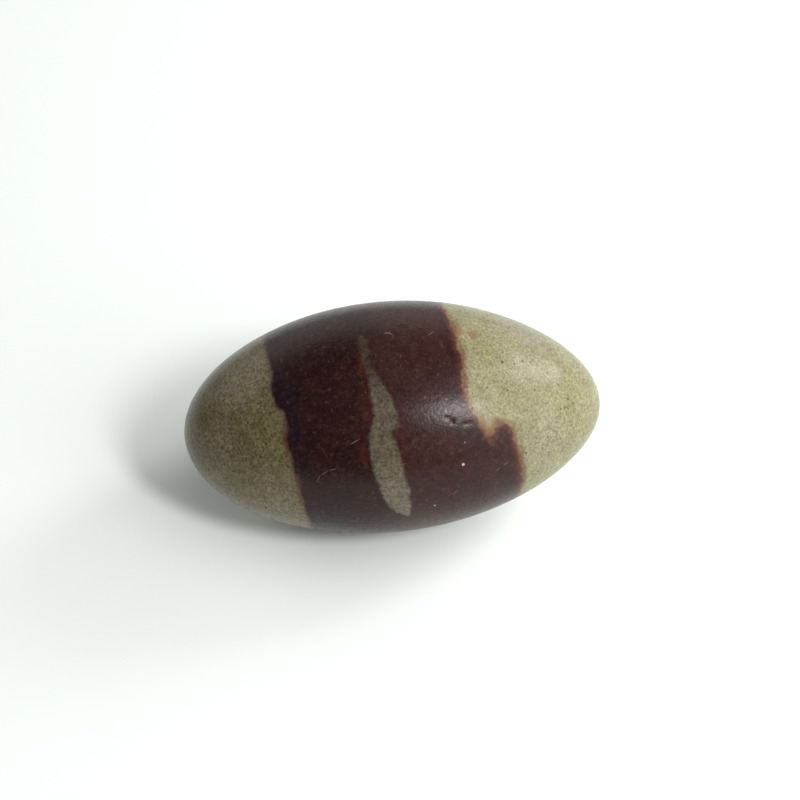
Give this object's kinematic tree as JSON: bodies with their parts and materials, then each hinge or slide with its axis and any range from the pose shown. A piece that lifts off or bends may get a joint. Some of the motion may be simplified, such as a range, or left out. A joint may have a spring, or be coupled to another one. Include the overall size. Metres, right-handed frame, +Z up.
{
  "type": "lingam stone",
  "caption": "Egg-shaped, hand-polished river stone with a dark red-brown band across its khaki ground, lying on a small flat spot; a loose decorative or palm stone.",
  "frame": {"origin": "on the surface that the stone rests on, under the middle of its bounding box", "axes": "+X along the stone towards its slimmer end, +Y across it towards the back, +Z up from the flat spot"},
  "size_m": [0.064, 0.0358, 0.0339],
  "materials": {
    "banded_stone": "fine-grained greenish khaki stone with a maroon band and a pale grey-green stripe in it, hand-polished to a low satin sheen, with small pits and hairline scratches"
  },
  "bodies": {
    "root": {"lingam_stone": "banded_stone"}
  },
  "joints": []
}
